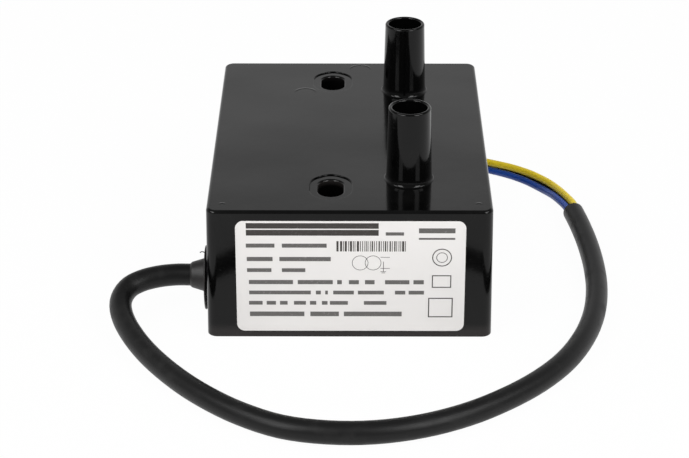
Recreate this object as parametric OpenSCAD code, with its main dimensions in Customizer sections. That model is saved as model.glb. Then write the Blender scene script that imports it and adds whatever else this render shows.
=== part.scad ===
// Ignition transformer: a moulded case filled with potting resin, with two high-voltage
// towers, a leakage core that carries one primary and two sectioned secondary coils, and
// a three-core mains lead. Millimetres, +Z up. The origin is the middle of the case's
// footprint, on the surface it stands on. The rating label faces -Y.

/* [Case] */
// Width of the case at its top
case_w = 85; // [76:1:110]
// Depth of the case at its top, from the label to the back
case_d = 116; // [104:1:150]
// Height of the case without its towers
case_h = 42; // [38:1:60]
// How far each side wall leans out from the top down to the open foot
draft = 0.5; // [0:0.1:1]
// Radius of the four upright corners
corner_r = 3; // [2:0.5:6]
// Radius of the edge round the top
edge_r = 1; // [0.4:0.2:1.8]
// Thickness of the side walls
wall = 2.5; // [1.6:0.1:2.8]
// Thickness of the top wall
top_wall = 2.8; // [2:0.2:3.4]

/* [Towers] */
// Height of each high-voltage tower above the top
tower_h = 23.5; // [16:0.5:40]
// Outer radius at a tower's rim
tower_rim_r = 6.4; // [6:0.1:7.5]
// Outer radius at a tower's foot, above its fillet
tower_foot_r = 6.9; // [6.8:0.1:8.5]
// Radius of the bore that takes the plug of the high-voltage lead
tower_bore_r = 5.2; // [4.6:0.1:5.3]
// Depth of that bore below the rim
tower_bore_l = 12; // [8:0.5:13]
// Radius of the narrower seat round the contact pin, below the bore
tower_seat_r = 4.2; // [3:0.1:4.5]
// Rounding of a tower's rim, outside and inside
rim_round = 0.5; // [0.2:0.1:0.6]
// Radius of the fillet at a tower's foot
foot_fillet = 1.2; // [0.3:0.1:2]
// Distance of the front tower from the front of the case
front_tower_inset = 23.5; // [14:0.5:26]
// Distance of the rear tower from the back of the case
rear_tower_inset = 23.5; // [14:0.5:26]

/* [Mounting slots] */
// Width of each mounting slot
slot_w = 7.4; // [5:0.2:8]
// Length of each mounting slot, end to end along Y
slot_l = 11.6; // [9:0.2:13]
// Distance of the slots from the middle, towards -X
slot_x = 5.7; // [5:0.1:6.4]
// Distance of each slot from the nearer end of the case
slot_inset = 17; // [15:0.5:18]
// Wall of the moulded sleeve round each slot
sleeve_wall = 2; // [1.2:0.1:2.2]
// How far the recess reaches round the slot
recess_rim = 2.6; // [1.5:0.1:3.2]
// Depth of the recess
recess_depth = 0.4; // [0.2:0.05:1.2]
// Chamfer round the slot's mouth
slot_chamfer = 0.6; // [0.1:0.1:0.8]

/* [Core] */
// Width of each leg and each yoke
leg_w = 13; // [11:0.5:14]
// Height of the stack of laminations
stack_h = 15; // [12:0.5:17]
// Space between the yokes and the sleeves of the slots
yoke_gap = 2.2; // [1.2:0.2:4]
// Width of the magnetic shunt between the coils
shunt_w = 5; // [3:0.5:6]
// Space between the shunt and each coil
coil_gap = 3; // [1.5:0.5:4]
// Thickness of the shim at each end of the shunt
shim_t = 0.6; // [0.4:0.1:1.5]

/* [Coils] */
// Wall of the coil formers round the legs
former_wall = 1.2; // [0.8:0.1:1.6]
// Thickness of the formers' flanges
flange_t = 1.4; // [1:0.1:2]
// Resin between the primary and the left wall
left_cover = 4.5; // [3:0.5:6]
// Resin between the secondaries and the right wall
right_cover = 6.5; // [3:0.5:7]
// Resin between the secondaries and the top wall
top_cover = 2.35; // [1.95:0.1:3.95]
// How much lower the flanges of the primary are than those of the secondaries
build_step = 2; // [1:0.5:3]
// Number of chambers in each secondary former
chambers = 4; // [3:1:5]
// Thickness of the ribs between the chambers
rib_t = 0.8; // [0.6:0.1:1]
// How far the wire stays below the rim of the flanges
wire_inset = 1; // [0.5:0.1:1.5]
// Thickness of the tape over the primary
wrap_t = 0.5; // [0.3:0.1:0.5]
// Space between the two secondary formers
mid_gap = 2; // [1.4:0.2:4]

/* [Conductors] */
// Radius of the insulated leads in the resin, and of the lead's cores
lead_r = 1.2; // [0.9:0.1:1.2]
// Radius of the high-voltage wires
hv_wire_r = 0.7; // [0.4:0.1:0.9]
// Radius of the contact pin in each tower
pin_r = 2; // [1.5:0.1:2.5]
// How far the contact pin ends below the bore
pin_sink = 1.5; // [0.5:0.5:4]
// Radius of the collar that holds a contact in the resin
collar_r = 3.2; // [2.8:0.1:4]

/* [Cable gland] */
// Distance of the gland from the front of the case
gland_inset = 19; // [16:0.5:20]
// Height of the gland's axis above the foot
gland_z = 11; // [10.5:0.5:13]
// Radius of the gland's flange
gland_flange_r = 9.9; // [8:0.1:10.2]
// Thickness of the gland's flange
gland_flange_t = 0.6; // [0.5:0.1:1.5]
// Space between the flange and the case
gland_stand = 1; // [0.2:0.1:2]
// Radius of the gland's neck where it passes the wall
gland_neck_r = 5.4; // [4.4:0.1:5.8]
// Radius at the foot of the cone
cone_foot_r = 5.1; // [4.6:0.1:5.6]
// Radius at the tip of the cone, before its chamfer
cone_tip_r = 4; // [3.9:0.1:4.5]
// Length of the cone
cone_l = 4.6; // [3:0.1:12]

/* [Rating label] */
// Bare wall on the left and on the right of the label
label_margin = 8; // [4:0.5:20]
// Straight wall above the label
label_head = 2.1; // [0.6:0.1:10]
// Corner radius of the label
label_r = 2.4; // [1:0.1:5]
// Thickness of the label
label_t = 0.2; // [0.1:0.05:0.5]
// Height of the label's lower edge above the foot
label_low = 2.2; // [1:0.1:3]

/* [Hidden] */
$fn = 48;

// Height up to which the side walls are straight
side_h = case_h - edge_r;
// The inner faces of the walls
inside_top = case_h - top_wall;
inside_corner_r = max(corner_r - wall, 0.6);
// How far the resin stays inside the open foot
resin_inset = 1.5;
// Steps of a quarter round
round_steps = 5;
// A little more than touching, where one cut runs past another
past = 1;

// The slots' and the towers' places along Y
slot_y = case_d / 2 - slot_inset;
tower_front = case_d / 2 - front_tower_inset;
tower_rear = case_d / 2 - rear_tower_inset;

// The core and the coils lie in the middle of the resin's height
core_z = (resin_inset + inside_top) / 2;
core_top = core_z + stack_h / 2;
core_low = core_z - stack_h / 2;
// How far the flanges stand off the legs, sideways and upwards: the coils fill the
// case's width and height, less the legs, the shunt, the gaps and the resin's covers
inner_w = case_w - 2 * wall;
coil_room = inner_w - left_cover - right_cover - 2 * coil_gap - shunt_w - 2 * leg_w;
primary_side = (coil_room / 2 - build_step) / 2;
secondary_side = primary_side + build_step;
secondary_rise = inside_top - top_cover - core_top;
primary_rise = secondary_rise - build_step;
primary_rim = [primary_side, primary_rise];
secondary_rim = [secondary_side, secondary_rise];
former_rim = [former_wall, former_wall];
primary_x = -inner_w / 2 + left_cover + primary_side + leg_w / 2;
secondary_x = inner_w / 2 - right_cover - secondary_side - leg_w / 2;
window_w = secondary_x - primary_x - leg_w;
shunt_x = primary_x + leg_w / 2 + primary_side + coil_gap + shunt_w / 2;
// The core reaches from one slot's sleeve to the other's
core_end = slot_y - slot_l / 2 - sleeve_wall - yoke_gap;
window_l = 2 * (core_end - leg_w);
secondary_l = (window_l - mid_gap) / 2;

// The high-voltage wires leave the secondaries above the yokes, under the towers
tower_x = secondary_x;
hv_wire_z = core_top + secondary_rise / 2 + hv_wire_r;
shank_r = 1.5;
shank_tail = 2;
shank_low = hv_wire_z - shank_tail;
collar_t = 1.6;
pin_h = tower_h - tower_bore_l - pin_sink;

// The terminals of the primary stand out of its front flange, above the yoke
terminal_r = 0.6;
terminal_l = 6;
terminal_z = core_top + primary_rise / 2;
terminal_spread = 8;
live_x = primary_x - terminal_spread / 2;
neutral_x = primary_x + terminal_spread / 2;
terminal_end = -window_l / 2 - terminal_l;

// The earth tag is spot-welded to the front yoke and stands past its corner
tag_t = 0.8;
tag_h = 8;
tag_w = 10;
tag_overhang = 3.5;
// Distance of the soldered core from the free edge of the tag
tag_seat = 2;
tag_x = primary_x - leg_w / 2 - tag_overhang;
tag_y = -core_end - tag_t;
earth_x = tag_x + tag_seat;

// The gland's stations along its axis, outwards from the face of the side wall
gland_y = -case_d / 2 + gland_inset;
gland_face = case_w / 2 + draft * (1 - gland_z / side_h);
gland_play = 0.1;
gland_inner_l = 6;
// Shoulder of the gland behind the wall: how far it stands out, and where it lies
shoulder = 1;
shoulder_gap = 0.3;
shoulder_l = 1.7;
inner_taper = 0.8;
gland_cap = gland_stand + gland_flange_t;
gland_end = gland_cap + cone_l;
cone_chamfer = 0.5;
// The cores leave the gland's inner end, side by side round its axis
core_spread = 1.7;

// The mains lead
cable_r = 3.4;
core_r = 1.2;
ferrule_r = 0.75;
ferrule_l = 8;
collar_l = 5;
skirt_r = 1.5;

// The routes are laid out round a case of this size, and move with the walls of others
laid_w = 85;
laid_d = 116;
function beside_case(p) = [
    for (i = [0:len(p) - 1])
        i == 0 ? p[0] + sign(p[0]) * (case_w - laid_w) / 2 :
        i == 1 ? p[1] + sign(p[1]) * (case_d - laid_d) / 2 : p[i]
];

// Route of the sheath: out of the gland, down to the surface, round the front and
// back along the right side to where the sheath ends
sheath_route = concat([[-gland_face - gland_end, gland_y, gland_z]], [for (p = [
    [-53.5, -39, 11], [-58.9, -39.7, 10.7], [-64.2, -41.2, 9.9], [-68.1, -44, 8.7],
    [-69.8, -49.8, 7.2], [-68.3, -57.8, 5.8], [-64.1, -67.7, 4.7], [-58.2, -77.8, 3.8],
    [-49.9, -89.4, 3.4], [-41, -99.6, 3.4], [-30.9, -108.5, 3.4], [-19.1, -115.5, 3.4],
    [-6.2, -118.5, 3.4], [7.1, -118.4, 3.4], [20.4, -115.1, 3.4], [33.2, -108.9, 3.4],
    [44.6, -100.5, 3.4], [55, -90.3, 3.4], [63.7, -78.4, 3.4], [70.3, -64.6, 3.4],
    [74.7, -50, 3.4], [77.1, -34.4, 3.4], [77.8, -18.5, 3.4], [77.3, -2.7, 3.4],
    [76.1, 10.8, 3.4], [74.8, 20.8, 3.4]
]) beside_case(p)]);

// Route of the three cores as one bundle: where its left edge lies in plan, from the
// end of the sheath to behind the case
bundle_route = [for (p = [
    [73.3, 20.8], [72.6, 24.9], [71.1, 29.8], [69.6, 34.5], [67.9, 39], [66, 42.8],
    [63.9, 46.1], [61.6, 49], [59, 51.6], [56.3, 53.9], [53.4, 55.9], [50.4, 57.7],
    [45.5, 60.3], [40.2, 62], [34.4, 63.2], [28.4, 64], [22.4, 64.4], [16.4, 64.5]
]) beside_case(p)];
// How far each core lies to the right of that edge, and how high, from the end of the
// sheath on: two come down to the surface, and the earth core crosses over above them
neutral_lay = [[0, 3.4], [0, 3.4], [0, 3.1], [0, 2.6], [0, 1.9], [0, 1.4], [0, 1.2]];
live_lay = [[2.2, 2.2], [2.2, 2.2], [2.3, 2], [2.4, 1.7], [2.5, 1.3], [2.5, 1.2]];
earth_lay = [
    [2.3, 4.7], [2.3, 4.7], [2.3, 4.5], [2.2, 4.3], [2.1, 4], [1.9, 3.9], [1.7, 3.8],
    [1.4, 3.9], [1.2, 3.9], [1, 3.9], [0.8, 3.9], [0.6, 3.9], [0.6, 3.8], [0.8, 3.6],
    [1, 3.5], [1.2, 3.4]
];

// Where a side wall stands at a height, for a size given at the top
function half_at(size, z) = size / 2 + draft * (1 - z / side_h);

// Points of a rectangle with rounded corners, at one height
function outline(hw, hd, r, z) = [
    for (q = [0:3], i = [0:round_steps])
        let (a = 90 * (q + i / round_steps),
             sx = (q == 0 || q == 3) ? 1 : -1,
             sy = (q < 2) ? 1 : -1)
        [sx * (hw - r) + r * cos(a), sy * (hd - r) + r * sin(a), z]
];

// A closed skin over rings that all have the same number of points
module loft(rings) {
    n = len(rings[0]);
    last = len(rings) - 1;
    polyhedron(
        points = [for (ring = rings, p = ring) p],
        faces = concat(
            [[for (i = [0:n - 1]) i]],
            [for (k = [0:last - 1], i = [0:n - 1])
                [k * n + i, (k + 1) * n + i, (k + 1) * n + (i + 1) % n, k * n + (i + 1) % n]],
            [[for (i = [n - 1:-1:0]) last * n + i]]
        ),
        convexity = 4
    );
}

// The case's outside: leaning walls and a rounded edge round the top
module case_outside() {
    loft(concat(
        [outline(half_at(case_w, 0), half_at(case_d, 0), corner_r, 0)],
        [for (i = [0:round_steps])
            let (a = 90 * i / round_steps, in = edge_r * (1 - cos(a)))
            outline(case_w / 2 - in, case_d / 2 - in, corner_r - in, side_h + edge_r * sin(a))]
    ));
}

// The space inside the walls between two heights
module case_inside(low, high) {
    loft([for (z = [low, high])
        outline(half_at(case_w, z) - wall, half_at(case_d, z) - wall, inside_corner_r, z)]);
}

// A bar with round ends along Y, standing on z = 0
module slot_bar(w, l, h) {
    for (end = [-1, 1]) translate([0, end * (l - w) / 2, 0]) cylinder(d = w, h = h);
    translate([-w / 2, -(l - w) / 2, 0]) cube([w, l - w, h]);
}

// A slot's bevelled mouth, widening upwards by c
module slot_mouth(w, l, c) {
    for (end = [-1, 1]) translate([0, end * (l - w) / 2, 0])
        cylinder(d1 = w, d2 = w + 2 * c, h = c);
    rotate([90, 0, 0]) linear_extrude(l - w, center = true)
        polygon([[-w / 2, 0], [w / 2, 0], [w / 2 + c, c], [-w / 2 - c, c]]);
}

module at_slots() {
    for (end = [-1, 1]) translate([-slot_x, end * slot_y, 0]) children();
}

module at_towers() {
    for (y = [-tower_front, tower_rear]) translate([tower_x, y, 0]) children();
}

// The moulded sleeves that carry the mounting slots through the resin
module slot_sleeves(h) {
    at_slots() slot_bar(slot_w + 2 * sleeve_wall, slot_l + 2 * sleeve_wall, h);
}

// A recess with a small bay at each end, where the slot's rim bulges it
module recess() {
    rim_w = slot_w + 2 * recess_rim;
    rim_l = slot_l + 2 * recess_rim;
    bay_r = slot_w / 2 + 0.5;
    slot_bar(rim_w, rim_l, recess_depth + past);
    for (end = [-1, 1]) translate([0, end * (rim_l / 2 - bay_r + 0.45), 0])
        cylinder(r = bay_r, h = recess_depth + past);
}

// A tower's outer form: a fillet at its foot, a slight taper and a rounded rim
module tower_outside() {
    rotate_extrude() polygon(concat(
        [[0, -past], [tower_foot_r + foot_fillet, -past]],
        [for (i = [0:round_steps]) let (a = 90 * i / round_steps)
            [tower_foot_r + foot_fillet * (1 - sin(a)), foot_fillet * (1 - cos(a))]],
        [for (i = [0:round_steps]) let (a = 90 * i / round_steps)
            [tower_rim_r - rim_round * (1 - cos(a)), tower_h - rim_round * (1 - sin(a))]],
        [[0, tower_h]]
    ));
}

// What is cut from a tower: its seat, its bore and the rounding inside its rim
module tower_hollow() {
    cylinder(r = tower_seat_r, h = tower_h);
    translate([0, 0, tower_h - tower_bore_l]) cylinder(r = tower_bore_r, h = tower_bore_l + past);
    translate([0, 0, tower_h - rim_round]) rotate_extrude() polygon(concat(
        [for (i = [0:round_steps]) let (a = 90 * i / round_steps)
            [tower_bore_r + rim_round * (1 - cos(a)), rim_round * sin(a)]],
        [[0, rim_round], [0, 0]]
    ));
}

module case() color("#1c1c1d") {
    difference() {
        union() {
            difference() {
                case_outside();
                case_inside(-past, inside_top);
            }
            slot_sleeves(inside_top + past);
            translate([0, 0, case_h]) at_towers() tower_outside();
        }
        at_slots() {
            translate([0, 0, -past]) slot_bar(slot_w, slot_l, case_h + 2 * past);
            translate([0, 0, case_h - recess_depth]) recess();
            translate([0, 0, case_h - recess_depth - slot_chamfer])
                slot_mouth(slot_w, slot_l, slot_chamfer);
        }
        translate([0, 0, case_h]) at_towers() tower_hollow();
        at_towers() cylinder(r = shank_r, h = case_h + past);
        translate([-case_w / 2 + wall + past, gland_y, gland_z]) rotate([0, -90, 0])
            cylinder(r = gland_neck_r + gland_play, h = wall + 3 * past);
    }
}

// A box that runs along Y round a leg, standing off it by rim, sideways and upwards
module round_leg(x, y0, l, rim) {
    translate([x - leg_w / 2 - rim[0], y0, core_low - rim[1]])
        cube([leg_w + 2 * rim[0], l, stack_h + 2 * rim[1]]);
}

module leg_ring(x, y0, l, from, to) {
    difference() {
        round_leg(x, y0, l, to);
        round_leg(x, y0 - past, l + 2 * past, from);
    }
}

module core_block(y0, l) {
    translate([primary_x - leg_w / 2, y0, core_low])
        cube([window_w + 2 * leg_w, l, stack_h]);
}

// U-shaped stack: both legs and the rear yoke
module core_u() color("#6a6f73") {
    difference() {
        core_block(-window_l / 2, window_l + leg_w);
        translate([primary_x + leg_w / 2, -window_l / 2 - past, core_low - past])
            cube([window_w, window_l + past, stack_h + 2 * past]);
    }
}

// Straight stack that closes the front
module core_i() color("#73787c") core_block(-core_end, leg_w);

module magnetic_shunt() color("#7b8084")
    translate([shunt_x - shunt_w / 2, -window_l / 2 + shim_t, core_low])
        cube([shunt_w, window_l - 2 * shim_t, stack_h]);

module shunt_shims() color("#b59a6a")
    for (end = [0, 1])
        translate([shunt_x - shunt_w / 2, -window_l / 2 + end * (window_l - shim_t), core_low])
            cube([shunt_w, shim_t, stack_h]);

module primary_bobbin() color("#d8cfb8") {
    leg_ring(primary_x, -window_l / 2, window_l, [0, 0], former_rim);
    for (y = [-window_l / 2, window_l / 2 - flange_t])
        leg_ring(primary_x, y, flange_t, former_rim, primary_rim);
}

primary_wire_y = -window_l / 2 + flange_t;
primary_wire_l = window_l - 2 * flange_t;
primary_wire_rim = primary_rim - [wire_inset, wire_inset];
primary_wrap_rim = primary_wire_rim + [wrap_t, wrap_t];

module primary_winding() color("#b5692f")
    leg_ring(primary_x, primary_wire_y, primary_wire_l, former_rim, primary_wire_rim);

module primary_wrap() color("#d9c24a")
    leg_ring(primary_x, primary_wire_y, primary_wire_l, primary_wire_rim, primary_wrap_rim);

// The two solder pins of the primary
module primary_terminals() color("#c9ccd0")
    for (x = [live_x, neutral_x]) translate([x, -window_l / 2, terminal_z])
        rotate([90, 0, 0]) cylinder(r = terminal_r, h = terminal_l, $fn = 24);

// Secondary former from the middle outwards along +Y; its outer flange has a hole for
// the high-voltage wire, its inner one a hole for the middle lead, and each rib a notch
// for the wire to cross into the next chamber
chamber_l = (secondary_l - 2 * flange_t - (chambers - 1) * rib_t) / chambers;
notch_w = 1.6;
notch_top = wire_inset + 1.5;

module crossings() {
    for (i = [1:chambers - 1])
        translate([secondary_x + leg_w / 2 + former_wall,
                   mid_gap / 2 + flange_t + i * chamber_l + (i - 1) * rib_t,
                   core_z - notch_w / 2])
            cube([secondary_side - former_wall - notch_top, rib_t, notch_w]);
}

module former_holes() {
    for (y = [mid_gap / 2, mid_gap / 2 + secondary_l - flange_t])
        translate([secondary_x, y, hv_wire_z]) rotate([-90, 0, 0])
            cylinder(r = hv_wire_r, h = flange_t, $fn = 24);
}

module secondary_former() {
    difference() {
        union() {
            leg_ring(secondary_x, mid_gap / 2, secondary_l, [0, 0], former_rim);
            for (y = [mid_gap / 2, mid_gap / 2 + secondary_l - flange_t])
                leg_ring(secondary_x, y, flange_t, former_rim, secondary_rim);
            for (i = [1:chambers - 1])
                leg_ring(secondary_x, mid_gap / 2 + flange_t + i * chamber_l + (i - 1) * rib_t,
                         rib_t, former_rim, secondary_rim);
        }
        former_holes();
        crossings();
    }
}

module secondary_wire() {
    for (i = [0:chambers - 1])
        leg_ring(secondary_x, mid_gap / 2 + flange_t + i * (chamber_l + rib_t), chamber_l,
                 former_rim, secondary_rim - [wire_inset, wire_inset]);
    crossings();
}

module secondary_bobbin_rear() color("#e6e2d4") secondary_former();
module secondary_bobbin_front() color("#e6e2d4") mirror([0, 1, 0]) secondary_former();
module secondary_winding_rear() color("#a85a28") secondary_wire();
module secondary_winding_front() color("#a85a28") mirror([0, 1, 0]) secondary_wire();

// Joins the inner ends of both secondaries to the top of the earthed leg
module mid_point_lead() color("#c8a24a") {
    translate([secondary_x, -mid_gap / 2 - flange_t, hv_wire_z]) rotate([-90, 0, 0])
        cylinder(r = hv_wire_r, h = mid_gap + 2 * flange_t, $fn = 24);
    translate([secondary_x, 0, core_top])
        cylinder(r = hv_wire_r, h = hv_wire_z - core_top, $fn = 24);
}

// High-voltage wire from the outer chamber of a secondary to the shank of its contact
module hv_wire(reach) {
    difference() {
        translate([secondary_x, window_l / 2 - flange_t, hv_wire_z]) rotate([-90, 0, 0])
            cylinder(r = hv_wire_r, h = reach - window_l / 2 + flange_t, $fn = 24);
        translate([secondary_x, reach, shank_low - past]) cylinder(r = shank_r, h = case_h);
    }
}

module hv_lead_front() color("#c96a3a") mirror([0, 1, 0]) hv_wire(tower_front);
module hv_lead_rear() color("#c96a3a") hv_wire(tower_rear);

// Turned contact: a shank through the top wall, a collar under it, a round-nosed pin
module hv_contact(y) color("#c9a227") translate([tower_x, y, 0]) rotate_extrude()
    polygon(concat(
        [[0, shank_low], [shank_r, shank_low], [shank_r, inside_top - collar_t],
         [collar_r, inside_top - collar_t], [collar_r, inside_top], [shank_r, inside_top],
         [shank_r, case_h], [pin_r, case_h]],
        [for (i = [0:round_steps]) let (a = 90 * i / round_steps)
            [pin_r * cos(a), case_h + pin_h - pin_r * (1 - sin(a))]]
    ));

module hv_contact_front() hv_contact(-tower_front);
module hv_contact_rear() hv_contact(tower_rear);

module earth_tag() color("#cfd2d4")
    translate([tag_x, tag_y, core_z - tag_h / 2]) cube([tag_w, tag_t, tag_h]);

// A round wire through points whose runs lie along the axes
module wire(points, r) {
    for (i = [0:len(points) - 2]) {
        run = points[i + 1] - points[i];
        translate(points[i])
            rotate([0, acos(run[2] / norm(run)), atan2(run[1], run[0])])
                cylinder(r = r, h = norm(run), $fn = 24);
    }
    for (i = [1:len(points) - 2]) translate(points[i]) sphere(r = r, $fn = 24);
}

inner_x = -gland_face + wall + gland_inner_l;
pair_z = gland_z - core_spread / 2;
pair_y = core_spread * cos(30);

module lead_earth() color("#d8c400") wire([
    [inner_x, gland_y, gland_z + core_spread], [earth_x, gland_y, gland_z + core_spread],
    [earth_x, gland_y, core_z], [earth_x, tag_y, core_z]
], lead_r);

// A mains core from the gland up to its terminal
module mains_lead(x, y) {
    wire([[inner_x, y, pair_z], [x, y, pair_z], [x, y, terminal_z], [x, terminal_end, terminal_z]],
         lead_r);
}

module lead_live() color("#2a2a2a") mains_lead(live_x, gland_y - pair_y);
module lead_neutral() color("#23479a") mains_lead(neutral_x, gland_y + pair_y);

// Strain-relief gland: inner shoulder, neck in the wall, thin flange and outer cone
module cable_gland() color("#2b2a2a")
    translate([-gland_face, gland_y, gland_z]) rotate([0, -90, 0]) rotate_extrude()
        polygon([
            [0, -wall - gland_inner_l], [gland_neck_r - inner_taper, -wall - gland_inner_l],
            [gland_neck_r + shoulder, -wall - shoulder_gap - shoulder_l],
            [gland_neck_r + shoulder, -wall - shoulder_gap],
            [gland_neck_r, -wall - shoulder_gap], [gland_neck_r, gland_stand],
            [gland_flange_r, gland_stand], [gland_flange_r, gland_cap],
            [cone_foot_r, gland_cap], [cone_tip_r, gland_end - cone_chamfer],
            [cone_tip_r - cone_chamfer, gland_end], [0, gland_end]
        ]);

// Everything that is cast into the resin
module cast_in() {
    core_u();
    core_i();
    magnetic_shunt();
    shunt_shims();
    primary_bobbin();
    primary_winding();
    primary_wrap();
    primary_terminals();
    secondary_bobbin_front();
    secondary_bobbin_rear();
    secondary_winding_front();
    secondary_winding_rear();
    mid_point_lead();
    hv_lead_front();
    hv_lead_rear();
    hv_contact_front();
    hv_contact_rear();
    earth_tag();
    lead_earth();
    lead_live();
    lead_neutral();
    cable_gland();
}

module potting_resin() color("#2e2a26") difference() {
    case_inside(resin_inset, inside_top);
    slot_sleeves(case_h);
    cast_in();
}

// The label lies flat on the leaning front wall
module rating_label() color("#d9dadb") {
    lean = atan(draft / side_h);
    label_w = case_w - 2 * label_margin;
    label_h = side_h - label_low - label_head;
    translate([0, -half_at(case_d, 0), 0]) rotate([90 - lean, 0, 0])
        translate([0, label_low + label_h / 2, 0]) linear_extrude(label_t) {
            for (sx = [-1, 1], sy = [-1, 1])
                translate([sx * (label_w / 2 - label_r), sy * (label_h / 2 - label_r)])
                    circle(r = label_r);
            square([label_w, label_h - 2 * label_r], center = true);
            square([label_w - 2 * label_r, label_h], center = true);
        }
}

function unit(v) = v / norm(v);
function way(path, i) = unit(path[min(i + 1, len(path) - 1)] - path[max(i - 1, 0)]);

// One ring of a tube, square to its route and with one corner straight down
function tube_ring(p, d, r, sides) =
    let (side = unit(cross(d, [0, 0, 1])), up = cross(side, d))
    [for (i = [0:sides - 1]) let (a = 360 * i / sides - 90) p + r * (cos(a) * side + sin(a) * up)];

module tube(path, r, sides) {
    loft([for (i = [0:len(path) - 1]) tube_ring(path[i], way(path, i), r, sides)]);
}

// A core's route: beside the bundle's edge, by the lay that the core has
function core_route(lay) = [
    for (i = [0:len(bundle_route) - 1])
        let (d = way(bundle_route, i), at = lay[min(i, len(lay) - 1)])
        [bundle_route[i][0] + d[1] * at[0], bundle_route[i][1] - d[0] * at[0], at[1]]
];

module cable_sheath() color("#202022") tube(sheath_route, cable_r, 12);
module core_earth() color("#d9c42a") tube(core_route(earth_lay), core_r, 8);
module core_live() color("#151515") tube(core_route(live_lay), core_r, 8);
module core_neutral() color("#2450a8") tube(core_route(neutral_lay), core_r, 8);

// A crimped wire end: a plastic skirt that stands against the core and a metal tube
module ferrule(lay) {
    route = core_route(lay);
    last = len(route) - 1;
    d = way(route, last);
    translate(route[last]) rotate([0, 90, atan2(d[1], d[0])]) {
        cylinder(r1 = core_r, r2 = ferrule_r, h = collar_l);
        cylinder(r = ferrule_r, h = collar_l + ferrule_l);
    }
}

module ferrule_earth() color("#d5d7d9") ferrule(earth_lay);
module ferrule_live() color("#d5d7d9") ferrule(live_lay);
module ferrule_neutral() color("#d5d7d9") ferrule(neutral_lay);

case();
potting_resin();
core_u();
core_i();
magnetic_shunt();
shunt_shims();
primary_bobbin();
primary_winding();
primary_wrap();
primary_terminals();
secondary_bobbin_front();
secondary_bobbin_rear();
secondary_winding_front();
secondary_winding_rear();
mid_point_lead();
hv_lead_front();
hv_lead_rear();
hv_contact_front();
hv_contact_rear();
earth_tag();
lead_earth();
lead_live();
lead_neutral();
rating_label();
cable_gland();
cable_sheath();
core_earth();
core_live();
core_neutral();
ferrule_earth();
ferrule_live();
ferrule_neutral();
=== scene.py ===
"""Looks of the ignition transformer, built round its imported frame. Metres, +Z up, the label faces -Y."""

from __future__ import annotations

import logging
import math
import random
from dataclasses import dataclass
from enum import Enum
from functools import cache
from typing import Callable, Iterable, Sequence, Union

import bmesh
import bpy
from mathutils import Matrix, Vector, noise

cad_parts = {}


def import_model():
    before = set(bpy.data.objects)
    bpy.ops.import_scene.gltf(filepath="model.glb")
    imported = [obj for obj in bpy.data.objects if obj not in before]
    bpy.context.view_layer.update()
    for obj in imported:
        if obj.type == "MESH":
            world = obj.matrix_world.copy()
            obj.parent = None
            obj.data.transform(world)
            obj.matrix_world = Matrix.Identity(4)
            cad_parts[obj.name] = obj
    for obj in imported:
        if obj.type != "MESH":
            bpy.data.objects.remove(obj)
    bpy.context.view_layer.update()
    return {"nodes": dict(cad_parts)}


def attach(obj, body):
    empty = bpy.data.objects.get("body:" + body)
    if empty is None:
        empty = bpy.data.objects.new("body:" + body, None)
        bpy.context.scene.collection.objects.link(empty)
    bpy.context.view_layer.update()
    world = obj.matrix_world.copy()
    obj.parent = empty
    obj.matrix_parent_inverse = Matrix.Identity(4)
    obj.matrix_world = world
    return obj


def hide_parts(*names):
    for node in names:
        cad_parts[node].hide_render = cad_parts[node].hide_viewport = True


LOG = logging.getLogger("ignition_transformer")
MM = 0.001
BODY = "root"

Pair = tuple[float, float]
Point = tuple[float, float, float]
Colour = tuple[float, float, float]
Mesh = bmesh.types.BMesh
Piece = bpy.types.Object


# ---------------------------------------------------------------- shader maths


class Signal:
    """A node socket that takes part in Python arithmetic."""

    def __init__(self, graph: "Graph", socket: bpy.types.NodeSocket | None) -> None:
        """Wraps a socket of a graph."""
        self.graph = graph
        self.socket = socket

    def math(self, operation: str, *others: "Value") -> "Signal":
        """The result of a Math node over this signal and others."""
        return self.graph.maths(operation, self, *others)

    def __add__(self, other: "Value") -> "Signal":
        """This plus the other."""
        return self.math("ADD", other)

    __radd__ = __add__

    def __sub__(self, other: "Value") -> "Signal":
        """This less the other."""
        return self.math("SUBTRACT", other)

    def __rsub__(self, other: "Value") -> "Signal":
        """The other less this."""
        return self.graph.maths("SUBTRACT", other, self)

    def __mul__(self, other: "Value") -> "Signal":
        """This times the other."""
        return self.math("MULTIPLY", other)

    def __truediv__(self, other: "Value") -> "Signal":
        """This divided by the other."""
        return self.math("DIVIDE", other)

    def step(self, low: float, high: float) -> "Signal":
        """A smooth rise from 0, where this signal is low, to 1, where it is high."""
        ends = {"Value": self, "From Min": low, "From Max": high}
        return self.graph.node("ShaderNodeMapRange", {"interpolation_type": "SMOOTHSTEP"}, ends)

    def ridge(self, at: float, half: float) -> "Signal":
        """A soft ridge: 1 where this signal is at a value, falling to 0 at half the ridge's width from it."""
        return 1 - (self - at).math("ABSOLUTE").step(0, half)


Value = Union[Signal, float, int]


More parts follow.
